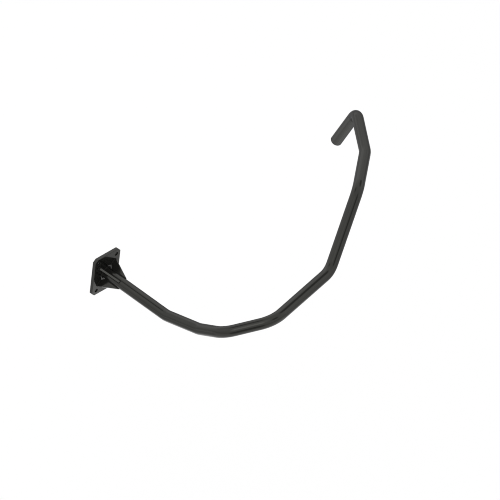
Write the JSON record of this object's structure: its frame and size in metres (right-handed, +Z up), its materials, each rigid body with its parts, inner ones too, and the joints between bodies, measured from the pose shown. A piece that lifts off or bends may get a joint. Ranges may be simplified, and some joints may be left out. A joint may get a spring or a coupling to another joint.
{
  "type": "bed assist rail",
  "caption": "Bent tube assist rail cantilevered from a gusseted, bolted base plate, with a raised cross run and a turned-down hand grip.",
  "frame": {"origin": "centre of the base plate's back face", "axes": "+X out of the plate along the first leg of the tube, +Y the side the rail sweeps towards, +Z up along the plate's long side"},
  "size_m": [0.5463, 0.8208, 0.338],
  "materials": {
    "powder_coat": "satin black powder coat on steel, fine orange peel",
    "coated_weld": "rippled weld bead under the same satin black powder coat",
    "cap_plastic": "black moulded polyethylene, matt"
  },
  "bodies": {
    "root": {"base_plate": "powder_coat", "arm_tube": "powder_coat", "gusset_upper_right": "powder_coat", "gusset_upper_left": "powder_coat", "gusset_lower_left": "powder_coat", "gusset_lower_right": "powder_coat", "root_weld": "coated_weld", "foot_weld_upper_right": "coated_weld", "foot_weld_upper_left": "coated_weld", "foot_weld_lower_left": "coated_weld", "foot_weld_lower_right": "coated_weld", "seam_weld_upper_right": "coated_weld", "seam_weld_upper_left": "coated_weld", "seam_weld_lower_left": "coated_weld", "seam_weld_lower_right": "coated_weld", "end_cap": "cap_plastic"}
  },
  "joints": []
}
